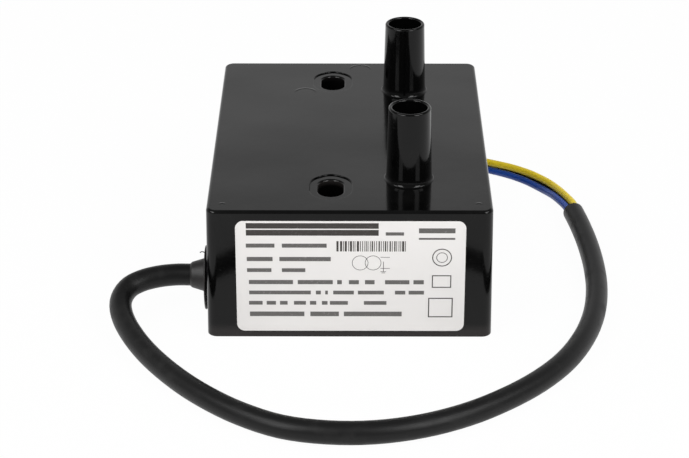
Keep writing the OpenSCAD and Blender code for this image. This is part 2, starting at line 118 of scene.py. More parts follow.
class Graph:
    """The node tree of one material or world."""

    def __init__(self, name: str, shelf: bpy.types.bpy_prop_collection | None = None) -> None:
        """Starts an empty tree.

        Args:
            name: The name of what it belongs to.
            shelf: Where that is made, or None for the materials.
        """
        self.made = (bpy.data.materials if shelf is None else shelf).new(name)
        self.made.use_nodes = True
        self.tree = self.made.node_tree
        self.tree.nodes.clear()

    def node(
        self,
        kind: str,
        settings: dict[str, object] | None = None,
        inputs: dict[object, object] | None = None,
        output: object = 0,
    ) -> Signal:
        """Adds any node.

        Args:
            kind: The node's type.
            settings: Its own settings, set first.
            inputs: Values, colours or signals for its sockets, by name or number.
            output: Name or number of the socket that is wanted.

        Returns:
            The wanted output, which is empty where the node has none.
        """
        made = self.tree.nodes.new(kind)
        for key, value in (settings or {}).items():
            setattr(made, key, value)
        for key, value in (inputs or {}).items():
            socket = made.inputs[key]
            if isinstance(value, Signal):
                self.tree.links.new(value.socket, socket)
            else:
                socket.default_value = value
        return Signal(self, made.outputs[output] if len(made.outputs) else None)

    def maths(self, operation: str, *values: Value) -> Signal:
        """Adds a Math node over numbers and signals."""
        return self.node("ShaderNodeMath", {"operation": operation}, dict(enumerate(values)))

    def vector(self, operation: str, *values: object, output: object = 0) -> Signal:
        """Adds a Vector Math node over vectors and signals."""
        return self.node("ShaderNodeVectorMath", {"operation": operation}, dict(enumerate(values)), output)

    def place(self) -> Signal:
        """The point on the surface, in the object's own metres."""
        return self.node("ShaderNodeTexCoord", output="Object")

    def along(self, axis: str, source: Signal | None = None) -> Signal:
        """The X, Y or Z of a vector, or of the point on the surface where no vector is given."""
        return self.node("ShaderNodeSeparateXYZ", inputs={0: source or self.place()}, output=axis)

    def noise(self, scale: float, detail: float = 2, source: Signal | None = None, rough: float = 0.5) -> Signal:
        """Smooth noise of about 0 to 1, with so many lumps to a metre of the surface or of the source."""
        inputs = {"Vector": source or self.place(), "Scale": scale, "Detail": detail, "Roughness": rough}
        return self.node("ShaderNodeTexNoise", inputs=inputs)

    def stretched(self, stretch: Point) -> Signal:
        """The point on the surface with each axis multiplied, for streaks."""
        return self.vector("MULTIPLY", self.place(), stretch)

    def blend(self, amount: Value, first: object, second: object) -> Signal:
        """Mixes two colours.

        Args:
            amount: 0 for the first colour, 1 for the second.
            first: A colour or a signal.
            second: A colour or a signal.

        Returns:
            The mixed colour.
        """
        first = (*first, 1) if isinstance(first, tuple) else first
        second = (*second, 1) if isinstance(second, tuple) else second
        return self.node("ShaderNodeMix", {"data_type": "RGBA"}, {0: amount, 6: first, 7: second}, output=2)

    def bump(self, height: Signal, depth: float) -> Signal:
        """The normal, bent by a height whose 1 stands for a depth in metres."""
        return self.node("ShaderNodeBump", inputs={"Height": height, "Distance": depth})

    def seen_ray(self) -> Signal:
        """Tells rays that end up in the picture, straight or mirrored, from those that only light things.

        Returns:
            1 for the former and 0 for the latter.
        """
        kinds = ("Is Camera Ray", "Is Glossy Ray", "Is Transmission Ray")
        camera, glossy, through = (self.node("ShaderNodeLightPath", output=kind) for kind in kinds)
        return camera.math("MAXIMUM", glossy).math("MAXIMUM", through)

    def surface(self, fixed: dict[str, object] | None = None, **varying: object) -> bpy.types.Material:
        """Closes the graph with a Principled surface.

        Args:
            fixed: Constants for its sockets, by their own names.
            varying: Signals or constants for base, roughness, metallic or normal.

        Returns:
            The finished material.
        """
        sockets = {"base": "Base Color", "roughness": "Roughness", "metallic": "Metallic", "normal": "Normal"}
        inputs: dict[object, object] = dict(fixed or {})
        for key, value in varying.items():
            inputs[sockets[key]] = (*value, 1) if isinstance(value, tuple) else value
        shader = self.node("ShaderNodeBsdfPrincipled", inputs=inputs)
        self.node("ShaderNodeOutputMaterial", inputs={"Surface": shader})
        return self.made


# ------------------------------------------------------------------- finishes


@dataclass(frozen=True)
class GlossyCase:
    """Glossy black thermoplastic with soft waves, sink marks and light handling wear, with a painted highlight on the
    slots' upper walls and a painted reflection of the floor along the foot.
    """

    base: Colour = (0.0014, 0.0014, 0.0014)
    worn: Colour = (0.008, 0.008, 0.0078)
    painted_light_tone: Colour = (0.018, 0.016, 0.0155)
    # Sink and pin marks: x, y and radius in millimetres
    marks: tuple[Point, ...] = ((-14.7, 32, 3.4), (3.5, 52.2, 3.4), (-37.8, -53, 0.7), (38.4, -52.8, 0.7))
    # Slots: x and y in millimetres, and how strongly a painted highlight lightens their upper walls
    slots: tuple[Point, ...] = ((-5.7, -41, 0.8), (-5.7, 41, 0.2))
    # Where that painted highlight fades out, in millimetres from a slot's middle and above the foot
    highlight_reach: Pair = (6.6, 7)
    highlight_rise: Pair = (39.4, 41)
    highlight_top: Pair = (41.2, 41.45)
    # Heights in millimetres over which a painted reflection of the floor fades out upwards from the foot
    foot_reflection: Pair = (1.5, 5)

    def span(self, source: Signal, ends: Pair) -> Signal:
        """A smooth rise between two lengths in millimetres."""
        return source.step(ends[0] * MM, ends[1] * MM)

    def build(self) -> bpy.types.Material:
        """Makes the material.

        Returns:
            The material.
        """
        g = Graph("case_gloss")
        haze = g.noise(26, 4, rough=0.6)
        wipe = g.noise(60, 3, g.stretched((1.0, 0.22, 1.0)))
        dust = g.noise(1400, 1).step(0.66, 0.74)
        scratch = g.noise(900, 2, g.stretched((1.0, 0.02, 0.4))).step(0.70, 0.74) * haze.step(0.5, 0.65)
        flat = g.vector("MULTIPLY", g.place(), (1, 1, 0))
        rings: Signal | None = None
        for x, y, radius in self.marks:
            distance = g.vector("DISTANCE", flat, (x * MM, y * MM, 0), output="Value")
            ring = distance.ridge(radius * MM, 0.5 * MM) * g.along("Y").step((y - radius / 4) * MM, (y + radius) * MM)
            rings = ring if rings is None else rings + ring
        height = g.noise(20, 1) + haze * 0.12 + rings * 0.16 + g.noise(1100, 2) * 0.008 - scratch * 0.004
        tall = g.along("Z")
        band = self.span(tall, self.highlight_rise) * (1 - self.span(tall, self.highlight_top))
        # Painted reflection of the floor: the walls lighter towards the foot
        painted_light_mask = 1 - self.span(tall, self.foot_reflection)
        # Painted highlight: lightens the upper walls of each slot by its strength
        for x, y, lip_highlight in self.slots:
            distance = g.vector("DISTANCE", flat, (x * MM, y * MM, 0), output="Value")
            painted_light_mask = painted_light_mask + (1 - self.span(distance, self.highlight_reach)) * band * lip_highlight
        base = g.blend(dust * 0.25 + haze.step(0.52, 0.75) * 0.5 + scratch * 0.5, self.base, self.worn)
        # Mixes in the painted reflection and the painted slot highlights
        base = g.blend(painted_light_mask, base, self.painted_light_tone)
        return g.surface(
            {"Specular IOR Level": 0.23},
            base=base,
            roughness=0.05 + haze * 0.06 + wipe * 0.05 + dust * 0.1,
            normal=g.bump(height, 0.0006),
        )


@dataclass(frozen=True)
class PottingResin:
    """Cast resin: glossy, slightly rippled, with a few burst bubbles."""

    base: Colour = (0.022, 0.018, 0.015)
    pale: Colour = (0.05, 0.043, 0.036)

    def build(self) -> bpy.types.Material:
        """Makes the material.

        Returns:
            The material.
        """
        g = Graph("cast_resin")
        flow = g.noise(45, 4)
        cells = g.node("ShaderNodeTexVoronoi", inputs={"Vector": g.place(), "Scale": 160}, output="Distance")
        pits = (1 - cells.step(0.03, 0.09)) * g.noise(40).step(0.5, 0.6)
        return g.surface(
            base=g.blend(flow.step(0.35, 0.75), self.base, self.pale),
            roughness=0.22 + flow * 0.2 + pits * 0.3,
            normal=g.bump(flow * 0.6 + g.noise(260) * 0.15 - pits * 0.5, 0.0006),
        )


@dataclass(frozen=True)
class Laminations:
    """Stacked silicon steel: thin sheets with blued edges and rust freckles."""

    base: Colour = (0.25, 0.26, 0.28)
    dark: Colour = (0.11, 0.115, 0.125)
    rust: Colour = (0.19, 0.09, 0.04)
    sheet: float = 0.5 * MM

    def build(self) -> bpy.types.Material:
        """Makes the material.

        Returns:
            The material.
        """
        g = Graph("lamination_steel")
        turn = (g.along("Z") / self.sheet).math("FRACT")
        gap = 1 - turn.ridge(0.5, 0.5).step(0.0, 0.25)
        tone = g.noise(3000, 1, g.stretched((0.05, 0.05, 1.0)))
        freckle = g.noise(500, 4).step(0.62, 0.7)
        base = g.blend(gap * 0.7 + tone * 0.3, self.base, self.dark)
        return g.surface(
            base=g.blend(freckle * 0.6, base, self.rust),
            metallic=1 - freckle * 0.8,
            roughness=0.38 + tone * 0.2 + freckle * 0.3,
            normal=g.bump(1 - gap, 0.00006),
        )


@dataclass(frozen=True)
class EnamelledWire:
    """Turns of enamelled copper wire, side by side, with painted shade between the turns."""

    name: str
    pitch: float
    base: Colour = (0.55, 0.2, 0.08)
    # Painted shade in the grooves between turns
    deep: Colour = (0.24, 0.07, 0.03)

    def build(self) -> bpy.types.Material:
        """Makes the material.

        Returns:
            The material.
        """
        g = Graph(self.name)
        wander = g.noise(70, 2) * 0.3 * self.pitch
        turn = ((g.along("Y") + wander) / self.pitch).math("FRACT")
        crown = turn.ridge(0.5, 0.5)
        tone = g.noise(220, 2)
        return g.surface(
            # Painted shade: darker away from each turn's crown
            base=g.blend(1 - crown.step(0.1, 0.6) * 0.8 - tone * 0.2, self.base, self.deep),
            metallic=0.85,
            roughness=0.28 + tone * 0.15,
            normal=g.bump(crown, 0.0001),
        )


@dataclass(frozen=True)
class Moulded:
    """Plain moulded or pressed insulation with a fine grain."""

    name: str
    base: Colour
    shade: Colour
    gloss: float = 0.45
    grain: float = 700
    relief: float = 0.00004

    def build(self) -> bpy.types.Material:
        """Makes the material.

        Returns:
            The material.
        """
        g = Graph(self.name)
        cloud = g.noise(90, 3)
        grain = g.noise(self.grain, 3)
        return g.surface(
            base=g.blend(cloud.step(0.3, 0.75), self.base, self.shade),
            roughness=self.gloss + grain * 0.15,
            normal=g.bump(grain, self.relief),
        )


@dataclass(frozen=True)
class LabelFilm:
    """Silvery white polyester film with the faintest satin grain."""

    base: Colour = (0.77, 0.752, 0.737)
    shade: Colour = (0.74, 0.722, 0.708)

    def build(self) -> bpy.types.Material:
        """Makes the material.

        Returns:
            The material.
        """
        g = Graph("label_film")
        cloud = g.noise(35, 3)
        grain = g.noise(2600, 1)
        return g.surface(
            {"Specular IOR Level": 0.35},
            base=g.blend(cloud.step(0.3, 0.8) * 0.5 + grain * 0.2, self.base, self.shade),
            roughness=0.42 + cloud * 0.12,
            normal=g.bump(cloud * 0.7 + grain * 0.05, 0.00008),
        )


@dataclass(frozen=True)
class PrintInk:
    """Dark thermal-transfer print, a little uneven."""

    name: str = "label_ink"
    base: Colour = (0.035, 0.03, 0.027)
    thin: Colour = (0.09, 0.082, 0.078)

    def build(self) -> bpy.types.Material:
        """Makes the material.

        Returns:
            The material.
        """
        g = Graph(self.name)
        gap = g.noise(1500, 3).step(0.55, 0.8)
        return g.surface(base=g.blend(gap, self.base, self.thin), roughness=0.5 + gap * 0.2)


@dataclass(frozen=True)
class SheathRubber:
    """Satin black flexible sheath, with faint drawing lines along it."""

    base: Colour = (0.006, 0.006, 0.0061)
    worn: Colour = (0.014, 0.014, 0.0138)

    def build(self) -> bpy.types.Material:
        """Makes the material.

        Returns:
            The material.
        """
        g = Graph("sheath_black")
        uv = g.node("ShaderNodeTexCoord", output="UV")
        lines = g.noise(60, 2, g.vector("MULTIPLY", uv, (1.0, 0.35, 0)))
        scuff = g.noise(160, 4).step(0.5, 0.78)
        return g.surface(
            {"Specular IOR Level": 0.24},
            base=g.blend(scuff * 0.7, self.base, self.worn),
            roughness=0.36 + scuff * 0.16 + lines * 0.08,
            normal=g.bump(lines * 0.5 + g.noise(900, 2) * 0.35, 0.00005),
        )


@dataclass(frozen=True)
class CoreInsulation:
    """Smooth insulation of one core, with a lengthways stripe where it has one."""

    name: str
    base: Colour
    stripe: Colour | None = None
    gloss: float = 0.3

    def build(self) -> bpy.types.Material:
        """Makes the material.

        Returns:
            The material.
        """
        g = Graph(self.name)
        cloud = g.noise(240, 2)
        base: object = self.base
        if self.stripe:
            turn = g.along("X", g.node("ShaderNodeTexCoord", output="UV"))
            band = (turn - 0.5).math("ABSOLUTE")
            base = g.blend(1 - band.step(0.135, 0.15), self.base, self.stripe)
        dull = g.blend(cloud.step(0.45, 0.9) * 0.35, base, tuple(0.6 * part for part in self.base))
        return g.surface(base=dull, roughness=self.gloss + cloud * 0.15, normal=g.bump(g.noise(1200, 2), 0.00002))


@dataclass(frozen=True)
class BareMetal:
    """Turned, plated or tinned metal with fine marks round it."""

    name: str
    base: Colour
    stain: Colour
    gloss: float = 0.25

    def build(self) -> bpy.types.Material:
        """Makes the material.

        Returns:
            The material.
        """
        g = Graph(self.name)
        marks = g.noise(1600, 2, g.stretched((0.1, 0.1, 1.0)))
        stain = g.noise(300, 4).step(0.55, 0.75)
        return g.surface(
            base=g.blend(stain * 0.6, self.base, self.stain),
            metallic=1.0,
            roughness=self.gloss + marks * 0.15 + stain * 0.2,
            normal=g.bump(marks, 0.00002),
        )


class Finish(Enum):
    """Every finish on the object, by the use it is put to."""

    CASE = GlossyCase()
    RESIN = PottingResin()
    STEEL = Laminations()
    PRIMARY_WIRE = EnamelledWire("primary_copper", 0.5 * MM)
    SECONDARY_WIRE = EnamelledWire("secondary_copper", 0.16 * MM)
    HOOK_WIRE = Moulded("hook_wire_enamel", (0.42, 0.17, 0.08), (0.3, 0.1, 0.05), 0.3)
    PRIMARY_FORMER = Moulded("primary_nylon", (0.6, 0.53, 0.4), (0.52, 0.45, 0.33))
    SECONDARY_FORMER = Moulded("secondary_nylon", (0.72, 0.68, 0.58), (0.62, 0.58, 0.48))
    TAPE = Moulded("winding_tape", (0.72, 0.5, 0.06), (0.6, 0.4, 0.04), 0.22, 260, 0.00008)
    PRESSBOARD = Moulded("shim_board", (0.42, 0.3, 0.16), (0.3, 0.2, 0.1), 0.7, 1400, 0.0001)
    TIN = BareMetal("tinned_copper", (0.62, 0.62, 0.62), (0.4, 0.39, 0.37))
    BRASS = BareMetal("turned_brass", (0.66, 0.46, 0.17), (0.35, 0.2, 0.07), 0.2)
    LABEL = LabelFilm()
    INK = PrintInk()
    GREY_INK = PrintInk("label_grey_ink", (0.11, 0.105, 0.1), (0.2, 0.19, 0.185))
    GLAND = Moulded("gland_nylon", (0.008, 0.0072, 0.007), (0.018, 0.015, 0.0142), 0.4, 500, 0.00006)
    SHEATH = SheathRubber()
    EARTH = CoreInsulation("core_yellow_green", (0.98, 0.74, 0.03), (0.06, 0.3, 0.04))
    LIVE = CoreInsulation("core_black", (0.012, 0.012, 0.012))
    NEUTRAL = CoreInsulation("core_blue", (0.015, 0.075, 0.4))
    SKIRT_PALE = Moulded("ferrule_skirt", (0.5, 0.5, 0.48), (0.42, 0.42, 0.4), 0.35)


@cache
def paint(finish: Finish) -> bpy.types.Material:
    """The material of a finish, made when it is first asked for."""
    return finish.value.build()


# ------------------------------------------------------------------ mesh tools


def box_mesh(low: Point, high: Point) -> Mesh:
    """A closed box.

    Args:
        low: Its lowest corner.
        high: Its highest corner.

    Returns:
        The mesh.
    """
    bm = bmesh.new()
    bmesh.ops.create_cube(bm, size=1)
    size = [b - a for a, b in zip(low, high)]
    middle = [(a + b) / 2 for a, b in zip(low, high)]
    bmesh.ops.transform(bm, matrix=Matrix.Translation(middle) @ Matrix.Diagonal((*size, 1)), verts=bm.verts)
    return bm


def bevel_edges(bm: Mesh, wanted: Callable[[bmesh.types.BMEdge], bool], radius: float, steps: int) -> None:
    """Rounds the edges that pass a test.

    Args:
        bm: The mesh.
        wanted: The test.
        radius: Radius of the rounding.
        steps: Number of faces across it.
    """
    edges = [edge for edge in bm.edges if wanted(edge)]
    bmesh.ops.bevel(
        bm, geom=edges, offset=radius, offset_type="OFFSET", segments=steps, profile=0.5, affect="EDGES", material=-1
    )


def is_upright(edge: bmesh.types.BMEdge) -> bool:
    """Whether an edge runs mostly along Z."""
    way = (edge.verts[1].co - edge.verts[0].co).normalized()
    return abs(way.z) > 0.9


def obround_reach(width: float, length: float, turn: float) -> float:
    """How far a bar with round ends along Y reaches from its middle.

    Args:
        width: Its width.
        length: Its length, end to end.
        turn: The direction, in radians from +X.

    Returns:
        The distance to its edge that way.
    """
    half, straight = width / 2, (length - width) / 2
    across, along = abs(math.cos(turn)), abs(math.sin(turn))
    if along * half <= straight * across:
        return half / across
    return straight * along + math.sqrt(half**2 - (straight * across) ** 2)


def round_reach(offset: float, radius: float, turn: float) -> float:
    """How far the nearer of two discs on the Y axis reaches from the middle between them.

    Args:
        offset: Distance of each disc's centre from the middle.
        radius: The discs' radius.
        turn: The direction, in radians from +X.

    Returns:
        The distance to the disc's far edge that way, or 0 where it lies elsewhere.
    """
    across, along = abs(math.cos(turn)), abs(math.sin(turn))
    room = radius**2 - (offset * across) ** 2
    return offset * along + math.sqrt(room) if room > 0 else 0.0


def star_mesh(reach: Callable[[float], float], profile: Sequence[Pair], steps: int = 144) -> Mesh:
    """A closed mesh whose outline grows along its height.

    Args:
        reach: Distance of the outline from the Z axis in each direction.
        profile: How much further the outline reaches, and at which height.
        steps: Points round it.

    Returns:
        The mesh.
    """
    bm = bmesh.new()
    turns = [math.tau * (i + 0.5) / steps for i in range(steps)]
    rings = []
    for grow, height in profile:
        reaches = [reach(turn) + grow for turn in turns]
        rings.append([bm.verts.new((r * math.cos(t), r * math.sin(t), height)) for r, t in zip(reaches, turns)])
    for low, high in zip(rings, rings[1:]):
        for i in range(steps):
            k = (i + 1) % steps
            bm.faces.new((low[i], low[k], high[k], high[i]))
    bm.faces.new(rings[0])
    bm.faces.new(rings[-1])
    bmesh.ops.recalc_face_normals(bm, faces=bm.faces)
    return bm


def arc(centre: Pair, radius: float, start: float, stop: float, steps: int) -> list[Pair]:
    """Points of an arc in a profile's plane, both ends included, from its angles in degrees and number of chords."""
    turns = [math.radians(start + (stop - start) * i / steps) for i in range(steps + 1)]
    return [(centre[0] + radius * math.cos(t), centre[1] + radius * math.sin(t)) for t in turns]


def spun_mesh(profile: Sequence[Pair], steps: int) -> Mesh:
    """A profile of (radius, height) points turned round the Z axis.

    Args:
        profile: Its points, which start and end on the axis or meet.
        steps: Faces round the axis.

    Returns:
        The closed mesh.
    """
    bm = bmesh.new()
    verts = [bm.verts.new((radius, 0, height)) for radius, height in profile]
    edges = [bm.edges.new(pair) for pair in zip(verts, verts[1:])]
    bmesh.ops.spin(
        bm, geom=verts + edges, axis=(0, 0, 1), cent=(0, 0, 0), angle=2 * math.pi, steps=steps, use_merge=True
    )
    bmesh.ops.remove_doubles(bm, verts=bm.verts, dist=1e-7)
    bmesh.ops.recalc_face_normals(bm, faces=bm.faces)
    return bm


def rod_mesh(radius: float, low: float, high: float, sides: int) -> Mesh:
    """A closed cylinder on the Z axis, from its radius, its ends and its number of sides."""
    return spun_mesh([(0, low), (radius, low), (radius, high), (0, high)], sides)


def moved(bm: Mesh, matrix: Matrix) -> Mesh:
    """The same mesh, after a transform."""
    bmesh.ops.transform(bm, matrix=matrix, verts=bm.verts)
    return bm


def joined(parts: Iterable[Mesh]) -> Mesh:
    """Puts meshes together.

    Args:
        parts: The meshes, which are freed.

    Returns:
        One mesh that holds them all.
    """
    whole = bmesh.new()
    for part in parts:
        scratch = bpy.data.meshes.new("scratch")
        part.to_mesh(scratch)
        part.free()
        whole.from_mesh(scratch)
        bpy.data.meshes.remove(scratch)
    return whole


def smooth_path(points: Sequence[Point], steps: int) -> list[Vector]:
    """A smooth curve through points.

    Args:
        points: The points it goes through.
        steps: How many pieces each stretch is cut into.

    Returns:
        The finer points.
    """
    knots = [Vector(p) for p in points]
    knots = [2 * knots[0] - knots[1]] + knots + [2 * knots[-1] - knots[-2]]
    fine: list[Vector] = []
    for i in range(1, len(knots) - 2):
        before, start, stop, after = knots[i - 1 : i + 3]
        for k in range(steps):
            t = k / steps
            bend = (2 * before - 5 * start + 4 * stop - after) * t
            bend += (3 * start - before - 3 * stop + after) * t * t
            fine.append(start + 0.5 * t * (stop - before + bend))
    fine.append(knots[-2])
    return fine


def headings(path: Sequence[Vector]) -> list[Vector]:
    """The direction of a path at each of its points."""
    return [(after - before).normalized() for before, after in zip([path[0], *path], [*path[1:], path[-1]])]


def length_of(path: Sequence[Vector]) -> float:
    """The length of a path."""
    return sum((b - a).length for a, b in zip(path, path[1:]))


def tube_mesh(path: Sequence[Vector], radius: float, sides: int, ends: Sequence[Pair] = ()) -> Mesh:
    """A tube swept along a path, with a UV map: U once round it, V in metres along it times ten.

    Args:
        path: The middle line.
        radius: The tube's radius.
        sides: Faces round it.
        ends: Further rings at the far end, as (radius, distance past the end), which may run back inside.

    Returns:
        The closed mesh.
    """
    bm = bmesh.new()
    uv = bm.loops.layers.uv.new("along")
    rings = [(point, way, radius) for point, way in zip(path, headings(path))]
    point, way, _ = rings[-1]
    rings += [(point + way * past, way, ring_radius) for ring_radius, past in ends]
    turns = [math.tau * (k / sides - 0.5) for k in range(sides)]
    circles: list[tuple[float, list[bmesh.types.BMVert]]] = []
    travelled, last = 0.0, path[0]
    for at, way, size in rings:
        across = way.cross(Vector((0, 0, 1))).normalized()
        up = across.cross(way)
        travelled += (at - last).length
        last = at
        circle = [bm.verts.new(at + size * (math.cos(t) * across + math.sin(t) * up)) for t in turns]
        circles.append((10 * travelled, circle))
    for (start, low), (stop, high) in zip(circles, circles[1:]):
        for k in range(sides):
            after = (k + 1) % sides
            face = bm.faces.new((low[k], low[after], high[after], high[k]))
            for loop, u, v in zip(face.loops, (k, k + 1, k + 1, k), (start, start, stop, stop)):
                loop[uv].uv = (u / sides, v)
    bm.faces.new(circles[0][1])
    bm.faces.new(circles[-1][1])
    bmesh.ops.recalc_face_normals(bm, faces=bm.faces)
    return bm


def linked(name: str, data: bpy.types.ID) -> Piece:
    """Adds an object to the scene.

    Args:
        name: Its name.
        data: The mesh, lamp or camera that it holds.

    Returns:
        The object.
    """
    thing = bpy.data.objects.new(name, data)
    bpy.context.scene.collection.objects.link(thing)
    return thing


def placed(bm: Mesh, name: str) -> Piece:
    """Adds an object that holds a mesh to the scene.

    Args:
        bm: The mesh, which is freed.
        name: The object's name.

    Returns:
        The object.
    """
    mesh = bpy.data.meshes.new(name)
    bm.to_mesh(mesh)
    bm.free()
    return linked(name, mesh)


def shade(mesh: bpy.types.Mesh, sharp: float) -> None:
    """Shades a mesh smooth, but for edges above an angle in degrees."""
    mesh.shade_smooth()
    mesh.set_sharp_from_angle(angle=math.radians(sharp))


def to_piece(bm: Mesh, name: str, finish: Finish, sharp: float = 35) -> Piece:
    """Turns a mesh into a smooth-shaded piece with its finish.

    Args:
        bm: The mesh, which is freed.
        name: The piece's name.
        finish: What it is made of.
        sharp: Angle in degrees above which an edge stays sharp.

    Returns:
        The object.
    """
    piece = placed(bm, name)
    shade(piece.data, sharp)
    piece.data.materials.append(paint(finish))
    return piece


def carve(piece: Piece, steps: Sequence[tuple[str, Mesh]], sharp: float = 28) -> None:
    """Adds meshes to a piece and cuts meshes from it, in order.

    Args:
        piece: The piece.
        steps: Pairs of UNION or DIFFERENCE and a mesh, which is freed.
        sharp: Angle in degrees above which an edge stays sharp.
    """
    tools = [placed(bm, "tool") for _, bm in steps]
    for (operation, _), tool in zip(steps, tools):
        modifier = piece.modifiers.new("step", "BOOLEAN")
        modifier.operation = operation
        modifier.solver = "EXACT"
        modifier.object = tool
    graph = bpy.context.evaluated_depsgraph_get()
    done = bpy.data.meshes.new_from_object(piece.evaluated_get(graph))
    done.name = piece.name
    piece.modifiers.clear()
    stale = [piece.data, *(tool.data for tool in tools)]
    piece.data = done
    for tool in tools:
        bpy.data.objects.remove(tool)
    for mesh in stale:
        bpy.data.meshes.remove(mesh)
    shade(done, sharp)
    weighted = piece.modifiers.new("even_normals", "WEIGHTED_NORMAL")
    weighted.keep_sharp = True
    weighted.weight = 80


def mount(piece: Piece, slot: str, *nodes: str) -> Piece:
    """Fixes a piece to the part.

    Args:
        piece: The piece.
        slot: The record's material slot, which is not used.
        nodes: The nodes that it stands for.

    Returns:
        The same piece.
    """
    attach(piece, BODY)
    if nodes:
        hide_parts(*nodes)
    LOG.info("%s: %d faces", piece.name, len(piece.data.polygons))
    return piece


# --------------------------------------------------------------- camera, stage


@dataclass
class Studio:
    """The camera, the lamps and the plain pale floor."""

    lens: float = 113.93
    sensor: float = 36
    stand: Point = (0.0003, -0.6347, 0.3242)
    tilt: float = 63.469
    swing: float = 0.18
    # Softboxes: azimuth and elevation in degrees, width, height and power
    boxes: tuple[tuple[float, float, float, float, float], ...] = (
        (42, 38.3, 0.4, 0.76, 5.9),
        (71, 45, 0.34, 0.36, 2.1),
    )
    box_away: float = 1.2
    world: float = 0.4
    # Where mirrored rays see the room go from dark to white, by the axis of their direction
    cove: tuple[tuple[str, float, float], ...] = (("Y", -0.1, 0.6), ("Z", 0.56, 0.4))
    dark_room: float = 0.3
    white_share: float = 0.975
    floor_grey: float = 0.82
    floor_radius: float = 4

    def set_camera(self) -> None:
        """Puts the camera where the photograph was taken from."""
        data = bpy.data.cameras.new("camera")
        data.lens = self.lens
        data.sensor_width = self.sensor
        data.clip_start = 0.01
        data.clip_end = 30
        camera = linked("camera", data)
        camera.location = self.stand
        camera.rotation_euler = (math.radians(self.tilt), 0, math.radians(self.swing))
        bpy.context.scene.camera = camera

    def set_lamps(self) -> None:
        """Hangs the softboxes, in pairs left and right of the camera."""
        for turn, lift, width, height, power in self.boxes:
            for side in (-1, 1):
                data = bpy.data.lights.new("softbox", "AREA")
                data.shape = "RECTANGLE"
                data.size, data.size_y = width, height
                data.energy = power
                lamp = linked("softbox", data)
                across, rise = math.radians(side * turn), math.radians(lift)
                way = Vector((math.sin(across) * math.cos(rise), -math.cos(across) * math.cos(rise), math.sin(rise)))
                lamp.location = way * self.box_away
                lamp.rotation_euler = way.to_track_quat("Z", "Y").to_euler()

    def light_world(self) -> None:
        """Lights the part evenly, and shows it a room that is white low behind it and dark elsewhere."""
        g = Graph("studio", bpy.data.worlds)
        way = g.node("ShaderNodeTexCoord", output="Generated")
        behind, low = (
            g.node("ShaderNodeMapRange", inputs={"Value": g.along(axis, way), "From Min": dark, "From Max": bright})
            for axis, dark, bright in self.cove
        )
        open_view = (behind * low).math("MAXIMUM", g.node("ShaderNodeLightPath", output="Is Camera Ray"))
        room = g.node("ShaderNodeMix", inputs={0: open_view, 2: self.dark_room, 3: 1.0})
        level = g.node("ShaderNodeMix", inputs={0: g.seen_ray(), 2: self.world, 3: room})
        light = g.node("ShaderNodeBackground", inputs={"Strength": level})
        g.node("ShaderNodeOutputWorld", inputs={"Surface": light})
        bpy.context.scene.world = g.made

    def lay_floor(self) -> None:
        """Lays the floor, which looks almost white to the camera and keeps a faint shadow."""
        bm = bmesh.new()
        bmesh.ops.create_circle(bm, cap_ends=True, segments=96, radius=self.floor_radius)
        floor = placed(bm, "floor")
        g = Graph("floor_pale")
        matt = g.node("ShaderNodeBsdfDiffuse", inputs={"Color": (*(self.floor_grey,) * 3, 1)})
        white = g.node("ShaderNodeEmission", inputs={"Color": (1, 1, 1, 1), "Strength": 1.0})
        seen = g.node("ShaderNodeMixShader", inputs={0: g.seen_ray() * self.white_share, 1: matt, 2: white})
        below = g.node("ShaderNodeNewGeometry", output="Backfacing")
        clear = g.node("ShaderNodeBsdfTransparent")
        both = g.node("ShaderNodeMixShader", inputs={0: below, 1: seen, 2: clear})
        g.node("ShaderNodeOutputMaterial", inputs={"Surface": both})
        floor.data.materials.append(g.made)


# ------------------------------------------------------------------------ case


